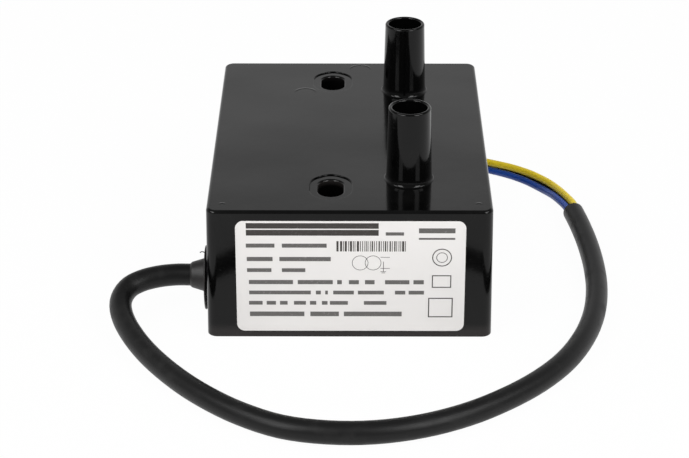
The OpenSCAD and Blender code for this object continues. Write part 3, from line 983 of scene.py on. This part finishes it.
@dataclass
class MouldedCase:
    """The case: leaning walls, open foot, two towers, two slots in recesses."""

    width: float = 85 * MM
    depth: float = 116 * MM
    height: float = 42 * MM
    draft: float = 0.5 * MM
    corner: float = 3 * MM
    inner_corner: float = 0.6 * MM
    edge: float = 1 * MM
    wall: float = 2.5 * MM
    top_wall: float = 2.8 * MM
    tower_x: float = 18 * MM
    towers: Pair = (-34.5 * MM, 34.5 * MM)
    tower_height: float = 23.5 * MM
    rim: float = 6.4 * MM
    foot: float = 6.9 * MM
    bore: float = 5.2 * MM
    bore_depth: float = 12 * MM
    bore_break: float = 0.15 * MM
    seat: float = 4.2 * MM
    seat_break: float = 0.2 * MM
    wire_hole: float = 1.52 * MM
    wire_mouth: float = 0.25 * MM
    flare: float = 0.8 * MM
    flare_height: float = 2.4 * MM
    rim_round: float = 0.58 * MM
    slot_x: float = -5.7 * MM
    slots: Pair = (-41 * MM, 41 * MM)
    slot_width: float = 7.4 * MM
    slot_length: float = 11.6 * MM
    sleeve: float = 2 * MM
    sleeve_bite: float = 0.5 * MM
    recess_rim: float = 2.6 * MM
    recess_depth: float = 0.4 * MM
    slot_lip: float = 0.7 * MM
    recess_lip: float = 0.3 * MM
    bay_spare: float = 0.5 * MM
    bay_past: float = 0.45 * MM
    foot_edge: float = 0.3 * MM
    gland_y: float = -39 * MM
    gland_z: float = 11 * MM
    gland_hole: float = 5.5 * MM

    def shell(self) -> Mesh:
        """The outer block, leaning, with its corners and its top edge rounded.

        Returns:
            The mesh.
        """
        bm = box_mesh((-self.width / 2, -self.depth / 2, 0), (self.width / 2, self.depth / 2, self.height))
        side = self.height - self.edge
        lean = self.draft * self.height / side
        top = self.draft * self.edge / side
        for vert in bm.verts:
            grow = lean if vert.co.z < self.height / 2 else 0
            grow -= top
            vert.co.x += math.copysign(grow, vert.co.x)
            vert.co.y += math.copysign(grow, vert.co.y)
        bevel_edges(bm, is_upright, self.corner, 12)
        high = self.height - 1e-6
        bevel_edges(bm, lambda e: all(v.co.z > high for v in e.verts), self.edge, 8)
        bevel_edges(bm, lambda e: all(v.co.z < 1e-6 for v in e.verts), self.foot_edge, 4)
        return bm

    def hollow(self) -> Mesh:
        """The space inside the walls, open at the foot.

        Returns:
            The mesh.
        """
        width, depth = self.width / 2 - self.wall, self.depth / 2 - self.wall
        bm = box_mesh((-width, -depth, -2 * MM), (width, depth, self.height - self.top_wall))
        for vert in bm.verts:
            if vert.co.z < 0:
                vert.co.x += math.copysign(self.draft, vert.co.x)
                vert.co.y += math.copysign(self.draft, vert.co.y)
        bevel_edges(bm, is_upright, self.inner_corner, 4)
        return bm

    def tower(self) -> Mesh:
        """One hollow tower, standing on z = 0.

        Returns:
            The mesh.
        """
        r = self.rim_round
        skirt = self.foot + self.flare
        ledge = self.tower_height - self.bore_depth
        profile = [
            (0, 0), (0, -MM), (skirt, -MM), (skirt, 0.004 * MM),
            *((skirt + self.flare * x, self.flare_height * (1 + z)) for x, z in arc((0, 0), 1, 268, 180, 12)),
            *arc((self.rim - r, self.tower_height - r), r, 0, 90, 8),
            *arc((self.bore + r, self.tower_height - r), r, 90, 180, 8),
            (self.bore, ledge + self.bore_break), (self.bore - self.bore_break, ledge),
            (self.seat + self.seat_break, ledge), (self.seat, ledge - self.seat_break),
            (self.seat, self.wire_mouth), (self.seat - self.wire_mouth, 0), (0, 0),
        ]
        return spun_mesh(profile, 96)

    def at(self, x: float, y: float, bm: Mesh) -> Mesh:
        """A mesh moved to a place on the case's top."""
        return moved(bm, Matrix.Translation((x, y, self.height)))

    def sleeve_bar(self, y: float, low: float, high: float, spare: float = 0.0) -> Mesh:
        """A bar the size of one slot's sleeve.

        Args:
            y: The slot's place.
            low: The bar's underside.
            high: The bar's top.
            spare: How much smaller than the sleeve it is.

        Returns:
            The mesh.
        """
        wide, long = (size + 2 * self.sleeve - spare for size in (self.slot_width, self.slot_length))
        bar = star_mesh(lambda turn: obround_reach(wide, long, turn), [(0, low), (0, high)])
        return moved(bar, Matrix.Translation((self.slot_x, y, 0)))

    def slot_cuts(self, y: float) -> list[tuple[str, Mesh]]:
        """What makes one mounting slot: its recess with two bays, then its mouth and hole.

        Args:
            y: The slot's place.

        Returns:
            The steps, in order.
        """
        deep, lip, rim = self.recess_depth, self.slot_lip, self.recess_lip
        wide, long = self.slot_width + 2 * self.recess_rim, self.slot_length + 2 * self.recess_rim
        bay = self.slot_width / 2 + self.bay_spare
        bay_y = long / 2 - bay + self.bay_past
        recess = [(0, -deep), (0, -rim), *arc((rim, -rim), rim, 165, 90, 5), (rim, MM)]
        hole = [(0, -self.height - MM), (0, -deep - lip), *arc((lip, -deep - lip), lip, 170, 90, 8), (lip, MM)]
        shapes = (
            (lambda turn: max(obround_reach(wide, long, turn), round_reach(bay_y, bay, turn)), recess),
            (lambda turn: obround_reach(self.slot_width, self.slot_length, turn), hole),
        )
        return [("DIFFERENCE", self.at(self.slot_x, y, star_mesh(reach, profile))) for reach, profile in shapes]

    def build(self) -> None:
        """Makes the case."""
        piece = to_piece(self.shell(), "moulded_case", Finish.CASE)
        steps = [("DIFFERENCE", self.hollow())]
        sleeve_top = self.height - self.top_wall + self.sleeve_bite
        steps += [("UNION", self.sleeve_bar(y, 0, sleeve_top)) for y in self.slots]
        for y in self.slots:
            steps += self.slot_cuts(y)
        for y in self.towers:
            steps.append(("UNION", self.at(self.tower_x, y, self.tower())))
            steps.append(("DIFFERENCE", self.at(self.tower_x, y, rod_mesh(self.wire_hole, -4 * MM, MM, 32))))
        turn = Matrix.Translation((-self.width / 2, self.gland_y, self.gland_z)) @ Matrix.Rotation(-math.pi / 2, 4, "Y")
        steps.append(("DIFFERENCE", moved(rod_mesh(self.gland_hole, -3 * MM, 4 * MM, 64), turn)))
        carve(piece, steps)
        mount(piece, "case_plastic", "case")


# ----------------------------------------------------------------------- label


@dataclass
class RatingLabel:
    """The film on the front wall and the plain fields and bars printed on it."""

    width: float = 68.4 * MM
    middle: float = 0.3 * MM
    height: float = 36.7 * MM
    radius: float = 2.4 * MM
    film: float = 0.2 * MM
    film_edge: float = 0.07 * MM
    ink: float = 0.015 * MM
    sunk: float = 0.01 * MM
    low: float = 2.2 * MM
    wall_y: float = -58.5 * MM
    lean: float = math.atan(0.5 / 41)
    # What is printed, in millimetres across and up the label. Blocks: left, right, low and high edge
    blocks: tuple[tuple[float, float, float, float], ...] = (
        (-30.7, 8.6, 34.2, 36.1), (-30.7, 8.6, 36.5, 38.3), (9.2, 12, 27, 27.15), (9.2, 12, 23.3, 23.45),
        (10, 10.18, 22.3, 25.6), (9.2, 10.9, 22.2, 22.35), (9.5, 10.6, 21.8, 21.95),
    )
    # Rings: centre, radius and line
    rings: tuple[tuple[float, float, float, float], ...] = (
        (3.15, 25.2, 2.35, 0.16), (7, 25.2, 2.35, 0.16), (27.5, 27, 2.8, 0.3), (27.5, 27, 1.6, 0.2),
    )
    # Outlines: centre, width, height and line
    outlines: tuple[tuple[float, float, float, float, float], ...] = (
        (27.5, 19, 5.8, 4.2, 0.32), (27.3, 10.2, 7.4, 6.6, 0.34),
    )
    # The row of bars: start, stop, low and high edge, then the widths and gaps to draw from
    bar_row: tuple[float, float, float, float] = (-3.9, 16.9, 29, 32.4)
    bar_widths: tuple[float, ...] = (0.22, 0.22, 0.4, 0.62)
    bar_gaps: tuple[float, ...] = (0.25, 0.3, 0.45)
    bar_spill: float = 0.3
    word_inset: float = 0.2
    # Lines of words: low and high edge, then where each word starts and stops
    words: tuple[tuple[float, float, tuple[Pair, ...]], ...] = (
        (33.9, 35.7, ((10.7, 16.1),)),
        (34.5, 37.2, ((20.5, 31.3),)),
        (32.7, 33.7, ((20.5, 31.3),)),
        (29.8, 32, ((-30.8, -22.3), (-20.1, -6.8))),
        (25.3, 27.6, ((-30.6, -22.9), (-20.9, -5.6))),
        (21.7, 23.8, ((-30.6, -23.3), (-20.2, -13.2))),
        (17.6, 19.9, (
            (-30.1, -16.9), (-15.5, -5), (-3.7, -2.3), (-0.2, 2.8), (4.6, 7.5), (10.6, 17.9), (19.1, 22.2),
        )),
        (14.2, 16.3, (
            (-30.1, -11.6), (-10.1, -8.6), (-7.3, -6.5), (-4.9, 1.3), (2.5, 10.3), (13.6, 16.7), (17.7, 22.3),
        )),
        (10.7, 12.8, (
            (-30.2, -26.1), (-24.9, -22.1), (-20.9, -18.6), (-16.7, -13.1),
            (-11.9, -10), (-8.3, -6.6), (-5.9, -0.5), (4.3, 11.1),
        )),
        (6.7, 9.3, ((-30, -13.6), (-11.8, -3.2), (-1.7, 15.7))),
    )

    def on_wall(self, bm: Mesh) -> Mesh:
        """Lays a mesh, drawn in the XY plane from the label's foot, on the leaning wall."""
        turn = Matrix.Translation((0, self.wall_y, 0)) @ Matrix.Rotation(math.pi / 2 - self.lean, 4, "X")
        return moved(bm, turn)

    def slab(self, left: float, right: float, low: float, high: float) -> Mesh:
        """One printed block, from sizes in millimetres."""
        back, face = self.film - self.sunk, self.film + self.ink
        return box_mesh((left * MM, low * MM, back), (right * MM, high * MM, face))

    def ring(self, x: float, z: float, radius: float, pen: float) -> Mesh:
        """A printed ring.

        Args:
            x: Its centre across the label, in millimetres.
            z: Its centre up the label, in millimetres.
            radius: Its radius in millimetres.
            pen: The width of its line in millimetres.

        Returns:
            The mesh.
        """
        back, face = self.film - self.sunk, self.film + self.ink
        inner, outer = (radius - pen / 2) * MM, (radius + pen / 2) * MM
        bm = spun_mesh([(inner, back), (outer, back), (outer, face), (inner, face), (inner, back)], 64)
        return moved(bm, Matrix.Translation((x * MM, z * MM, 0)))

    def outline(self, x: float, z: float, width: float, height: float, pen: float) -> list[Mesh]:
        """A printed outline of a rectangle.

        Args:
            x: Its centre across the label, in millimetres.
            z: Its centre up the label, in millimetres.
            width: Its width in millimetres.
            height: Its height in millimetres.
            pen: The width of its line in millimetres.

        Returns:
            The meshes of its four sides.
        """
        w, h = width / 2, height / 2
        return [
            self.slab(x - w, x + w, z - h, z - h + pen),
            self.slab(x - w, x + w, z + h - pen, z + h),
            self.slab(x - w, x - w + pen, z - h + pen, z + h - pen),
            self.slab(x + w - pen, x + w, z - h + pen, z + h - pen),
        ]

    def print_parts(self) -> list[Mesh]:
        """Everything printed but the words: blocks, a row of bars, rings and outlines.

        Returns:
            The meshes.
        """
        parts = [self.slab(*block) for block in self.blocks]
        draw = random.Random(11)
        left, stop, low, high = self.bar_row
        while left < stop:
            bar = draw.choice(self.bar_widths)
            parts.append(self.slab(left, min(left + bar, stop + self.bar_spill), low, high))
            left += bar + draw.choice(self.bar_gaps)
        parts += [self.ring(*ring) for ring in self.rings]
        for outline in self.outlines:
            parts += self.outline(*outline)
        return parts

    def word_bars(self) -> list[Mesh]:
        """A plain bar in the place of each word.

        Returns:
            The meshes.
        """
        bars = []
        for low, high, spans in self.words:
            inset = self.word_inset * (high - low)
            bars += [self.slab(left, right, low + inset, high - inset) for left, right in spans]
        return bars

    def build(self) -> None:
        """Makes the film and its print."""
        left, right = self.middle - self.width / 2, self.middle + self.width / 2
        film = box_mesh((left, self.low, 0), (right, self.low + self.height, self.film))
        bevel_edges(film, is_upright, self.radius, 10)
        top = self.film - 1e-6
        bevel_edges(film, lambda e: all(v.co.z > top for v in e.verts), self.film_edge, 2)
        for bm, name, finish, nodes in (
            (film, "label_film", Finish.LABEL, ("rating_label",)),
            (joined(self.print_parts()), "label_print", Finish.INK, ()),
            (joined(self.word_bars()), "label_word_bars", Finish.GREY_INK, ()),
        ):
            mount(to_piece(self.on_wall(bm), name, finish), "label_film", *nodes)


# ------------------------------------------------------------------ mains lead

# Points of the routes in millimetres, as in the part's source
SHEATH_ROUTE: tuple[Point, ...] = (
    (-49.066, -39, 11), (-53.5, -39, 11), (-58.9, -39.7, 10.7), (-64.2, -41.2, 9.9), (-68.1, -44, 8.7),
    (-69.8, -49.8, 7.2), (-68.3, -57.8, 5.8), (-64.1, -67.7, 4.7), (-58.2, -77.8, 3.8), (-49.9, -89.4, 3.4),
    (-41, -99.6, 3.4), (-30.9, -108.5, 3.4), (-19.1, -115.5, 3.4), (-6.2, -118.5, 3.4), (7.1, -118.4, 3.4),
    (20.4, -115.1, 3.4), (33.2, -108.9, 3.4), (44.6, -100.5, 3.4), (55, -90.3, 3.4), (63.7, -78.4, 3.4),
    (70.3, -64.6, 3.4), (74.7, -50, 3.4), (77.1, -34.4, 3.4), (77.8, -18.5, 3.4), (77.3, -2.7, 3.4),
    (76.1, 10.8, 3.4), (74.8, 20.8, 3.4),
)
BUNDLE_ROUTE: tuple[Pair, ...] = (
    (73.3, 20.8), (72.6, 24.9), (71.1, 29.8), (69.6, 34.5), (67.9, 39), (66, 42.8), (63.9, 46.1),
    (61.6, 49), (59, 51.6), (56.3, 53.9), (53.4, 55.9), (50.4, 57.7), (45.5, 60.3), (40.2, 62),
    (34.4, 63.2), (28.4, 64), (22.4, 64.4), (16.4, 64.5),
)


@dataclass
class Gland:
    """The strain relief: a neck in the wall, a thin flange and a cone, with its flash."""

    face_x: float = -42.866 * MM
    y: float = -39 * MM
    z: float = 11 * MM
    neck: float = 5.4 * MM
    neck_l: float = 8.5 * MM
    barb: float = 1 * MM
    barb_l: float = 1.7 * MM
    barb_face: float = 2.8 * MM
    stand: float = 1 * MM
    flange: float = 9.9 * MM
    flange_t: float = 0.6 * MM
    flange_round: float = 0.25 * MM
    cone_foot: float = 5.1 * MM
    cone_fillet: float = 0.45 * MM
    cone_tip: float = 4 * MM
    cone_l: float = 4.6 * MM
    chamfer: float = 0.5 * MM
    soft: float = 0.05 * MM
    bore: float = 3.45 * MM
    sag: float = 0.9 * MM
    # The flash on the flange: height above the middle and distance from the wall, in millimetres
    flash: tuple[Pair, ...] = ((8.4, 1.5), (8.8, 2.1), (8.8, 2.7), (8.5, 3.1))
    flash_r: float = 0.15 * MM

    def build(self) -> Piece:
        """Makes the gland.

        Returns:
            Its piece.
        """
        cap = self.stand + self.flange_t
        end = cap + self.cone_l
        r, foot, soft = self.flange_round, self.cone_fillet, self.soft
        barb, face = self.neck + self.barb, -self.barb_face
        profile = [
            (0, -self.neck_l), (self.neck - 0.8 * MM, -self.neck_l),
            (barb, face - self.barb_l), (barb, face), (self.neck, face), (self.neck, self.stand),
            *arc((self.flange - r, self.stand + r), r, -90, 0, 4),
            *arc((self.flange - r, cap - r), r, 0, 90, 4),
            *arc((self.cone_foot + foot, cap + foot), foot, 270, 190, 5),
            (self.cone_tip + soft, end - self.chamfer - 0.25 * MM), (self.cone_tip - soft, end - self.chamfer),
            (self.cone_tip - self.chamfer + soft, end - 0.06 * MM), (self.bore + soft, end),
            (self.bore, end - 0.3 * MM), (0, end - 0.3 * MM),
        ]
        turn = Matrix.Translation((self.face_x, self.y, self.z)) @ Matrix.Rotation(-math.pi / 2, 4, "Y")
        flash = tube_mesh(smooth_path([(0, up * MM, out * MM) for up, out in self.flash], 4), self.flash_r, 6)
        spin = Matrix.Rotation(-math.pi / 2, 4, "Z")
        body = joined([moved(spun_mesh(profile, 72), turn), moved(flash, turn @ spin)])
        for vert in body.verts:
            if math.hypot(vert.co.y - self.y, vert.co.z - self.z) > self.neck + 1.5 * MM:
                vert.co.z -= self.sag
        piece = to_piece(body, "gland_body", Finish.GLAND, 30)
        return mount(piece, "gland_rubber", "cable_gland")


@dataclass(frozen=True)
class Core:
    """One insulated core, with its distance from the bundle's edge and its height at each point, in millimetres."""

    name: str
    finish: Finish
    slot: str
    lay: tuple[Pair, ...]


CORES: tuple[Core, ...] = (
    Core("neutral", Finish.NEUTRAL, "core_blue", (
        (0, 3.4), (0, 3.4), (0, 3.1), (0, 2.6), (0, 1.9), (0, 1.4), (0, 1.2),
    )),
    Core("live", Finish.LIVE, "core_black", (
        (2.2, 2.2), (2.2, 2.2), (2.3, 2), (2.4, 1.7), (2.5, 1.3), (2.5, 1.2),
    )),
    Core("earth", Finish.EARTH, "core_yellow", (
        (2.3, 4.7), (2.3, 4.7), (2.3, 4.5), (2.2, 4.3), (2.1, 4), (1.9, 3.9), (1.7, 3.8), (1.4, 3.9),
        (1.2, 3.9), (1, 3.9), (0.8, 3.9), (0.6, 3.9), (0.6, 3.8), (0.8, 3.6), (1, 3.5), (1.2, 3.4),
    )),
)


@dataclass
class MainsLead:
    """The sheath, its three cores and the ferrules on them."""

    sheath_r: float = 3.4 * MM
    sheath_hole: float = 2.68 * MM
    lip: float = 0.12 * MM
    core_r: float = 1.2 * MM
    tucked: float = 3 * MM

    def core_route(self, core: Core) -> list[Point]:
        """Where a core lies: beside the bundle's edge, by its lay.

        Args:
            core: The core.

        Returns:
            The points of its route.
        """
        points = [Vector((x * MM, y * MM, 0)) for x, y in BUNDLE_ROUTE]
        route: list[Point] = []
        for i, (point, way) in enumerate(zip(points, headings(points))):
            aside, height = core.lay[min(i, len(core.lay) - 1)]
            route.append((point.x + way.y * aside * MM, point.y - way.x * aside * MM, height * MM))
        return route

    def build_sheath(self) -> None:
        """Makes the sheath, with its square-cut far end open round the cores.
        """
        path = smooth_path([tuple(MM * part for part in point) for point in SHEATH_ROUTE], 4)
        lip, hole = self.lip, self.sheath_hole
        ends = [(self.sheath_r - lip * 0.3, 0.0), (self.sheath_r - lip, lip * 0.2), (hole + lip, lip * 0.2)]
        ends += [(hole, -lip), (hole, -self.tucked)]
        bm = tube_mesh(path, self.sheath_r, 40, ends)
        piece = to_piece(bm, "mains_sheath", Finish.SHEATH)
        mount(piece, "sheath", "cable_sheath")
        round(length_of(path), 3)

    def build_core(self, core: Core) -> None:
        """Makes one core and its ferrule.

        Args:
            core: The core.
        """
        route = self.core_route(core)
        path = smooth_path(route, 4)
        way = (path[1] - path[0]).normalized()
        path = [path[0] - way * (self.tucked - 0.2 * MM)] + path
        piece = to_piece(tube_mesh(path, self.core_r, 20), f"insulated_{core.name}", core.finish)
        mount(piece, core.slot, f"core_{core.name}")
        ferrule = Ferrule(f"crimp_{core.name}").build(route, f"ferrule_{core.name}")
        round(length_of(path), 3)


@dataclass
class Ferrule:
    """A crimped wire end: plastic skirt, tin-plated tube and crimp dents."""

    name: str
    skirt_l: float = 5 * MM
    tube_l: float = 8 * MM
    core_r: float = 1.2 * MM
    tube_r: float = 0.75 * MM
    crimps: int = 5
    first_crimp: float = 1.2 * MM
    crimp_pitch: float = 1.3 * MM
    crimp_l: float = 0.8 * MM
    dent: float = 0.1 * MM

    def build(self, route: Sequence[Point], node: str) -> Piece:
        """Makes the ferrule at the end of a core's route.

        Args:
            route: The core's route.
            node: The node that the ferrule stands for.

        Returns:
            The piece.
        """
        reach = self.skirt_l + self.tube_l
        profile = [(0, 0), (self.core_r, 0), (self.core_r, 0.8 * MM), (self.core_r - 0.03 * MM, 3.2 * MM)]
        profile += [(self.tube_r + 0.12 * MM, self.skirt_l - 0.1 * MM), (self.tube_r, self.skirt_l)]
        for i in range(self.crimps):
            at = self.skirt_l + self.first_crimp + self.crimp_pitch * i
            for along, share in ((0, 0), (0.25, 1), (0.75, 1), (1, 0)):
                profile.append((self.tube_r - share * self.dent, at + along * self.crimp_l))
        profile += [(self.tube_r, reach - 0.1 * MM), (self.tube_r - 0.1 * MM, reach), (0, reach)]
        bm = spun_mesh(profile, 24)
        end, before = Vector(route[-1]), Vector(route[-2])
        turn = Matrix.Translation(end) @ (end - before).to_track_quat("Z", "Y").to_matrix().to_4x4()
        moved(bm, turn)
        skirt = turn @ Vector((0, 0, self.skirt_l - 0.02 * MM))
        ahead = (end - before).normalized()
        piece = to_piece(bm, self.name, Finish.TIN, 40)
        piece.data.materials.append(paint(Finish.SKIRT_PALE))
        for face in piece.data.polygons:
            if (face.center - skirt).dot(ahead) < 0:
                face.material_index = 1
        return mount(piece, "tinned_metal", node)


# ------------------------------------------------------------ foot and insides


@dataclass
class ResinFoot:
    """The skin of the resin in the open foot: rippled, and drawn up at the walls."""

    case: MouldedCase
    half_w: float = 40.5 * MM
    half_d: float = 56 * MM
    level: float = 1.2 * MM
    climb: float = 0.75 * MM
    climb_reach: float = 1.3 * MM
    ripple: float = 0.18 * MM
    ripples: float = 38
    skin: float = 0.15 * MM
    spare: float = 0.1 * MM

    def rim_distance(self, x: float, y: float) -> float:
        """How far a point is from the nearest wall or sleeve.

        Args:
            x: The point's place across the case.
            y: The point's place along the case.

        Returns:
            The distance.
        """
        case = self.case
        near = min(self.half_w - abs(x), self.half_d - abs(y))
        for slot_y in case.slots:
            off = max(abs(y - slot_y) - (case.slot_length - case.slot_width) / 2, 0)
            near = min(near, math.hypot(x - case.slot_x, off) - case.slot_width / 2 - case.sleeve)
        return near

    def build(self) -> None:
        """Makes the skin."""
        bm = bmesh.new()
        bmesh.ops.create_grid(bm, x_segments=108, y_segments=150, size=1)
        moved(bm, Matrix.Diagonal((self.half_w - self.spare, self.half_d - self.spare, 1, 1)))
        for vert in bm.verts:
            x, y = vert.co.x, vert.co.y
            climb = self.climb * math.exp(-max(self.rim_distance(x, y), 0) / self.climb_reach)
            wave = self.ripple * noise.noise(Vector((x * self.ripples, y * self.ripples, 0.4)))
            vert.co.z = self.level - climb + wave
        bmesh.ops.reverse_faces(bm, faces=bm.faces)
        piece = to_piece(bm, "resin_skin", Finish.RESIN)
        thick = piece.modifiers.new("thick", "SOLIDIFY")
        thick.thickness = self.skin
        thick.offset = -1
        bars = [self.case.sleeve_bar(y, -5 * MM, 5 * MM, self.spare) for y in self.case.slots]
        carve(piece, [("DIFFERENCE", bar) for bar in bars])
        mount(piece, "resin")


# What the nodes that keep their own shape are made of
NODE_FINISHES: dict[Finish, tuple[str, ...]] = {
    Finish.RESIN: ("potting_resin",),
    Finish.STEEL: ("core_u", "core_i", "magnetic_shunt"),
    Finish.PRESSBOARD: ("shunt_shims",),
    Finish.PRIMARY_FORMER: ("primary_bobbin",),
    Finish.PRIMARY_WIRE: ("primary_winding",),
    Finish.TAPE: ("primary_wrap",),
    Finish.SECONDARY_FORMER: ("secondary_bobbin_front", "secondary_bobbin_rear"),
    Finish.SECONDARY_WIRE: ("secondary_winding_front", "secondary_winding_rear"),
    Finish.HOOK_WIRE: ("mid_point_lead", "hv_lead_front", "hv_lead_rear"),
    Finish.BRASS: ("hv_contact_front", "hv_contact_rear"),
    Finish.TIN: ("primary_terminals", "earth_tag"),
    Finish.EARTH: ("lead_earth",),
    Finish.LIVE: ("lead_live",),
    Finish.NEUTRAL: ("lead_neutral",),
}


def dress_nodes(nodes: dict[str, Piece]) -> None:
    """Gives each node that is carried over its own finish.

    Args:
        nodes: The frame's nodes, by name.
    """
    for finish, names in NODE_FINISHES.items():
        for name in names:
            mesh = nodes[name].data
            mesh.materials.clear()
            mesh.materials.append(paint(finish))


def main() -> None:
    """Builds everything round the frame, cords first."""
    logging.basicConfig(level=logging.INFO, format="%(name)s: %(message)s")
    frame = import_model()
    bpy.context.scene.view_settings.view_transform = "Standard"
    studio = Studio()
    studio.set_camera()
    gland = Gland()
    gland_piece = gland.build()
    lead = MainsLead()
    lead.build_sheath()
    for core in CORES:
        lead.build_core(core)
    studio.set_lamps()
    studio.light_world()
    studio.lay_floor()
    case = MouldedCase()
    case.build()
    RatingLabel().build()
    ResinFoot(case).build()
    dress_nodes(frame["nodes"])


if __name__ == "__main__":
    main()
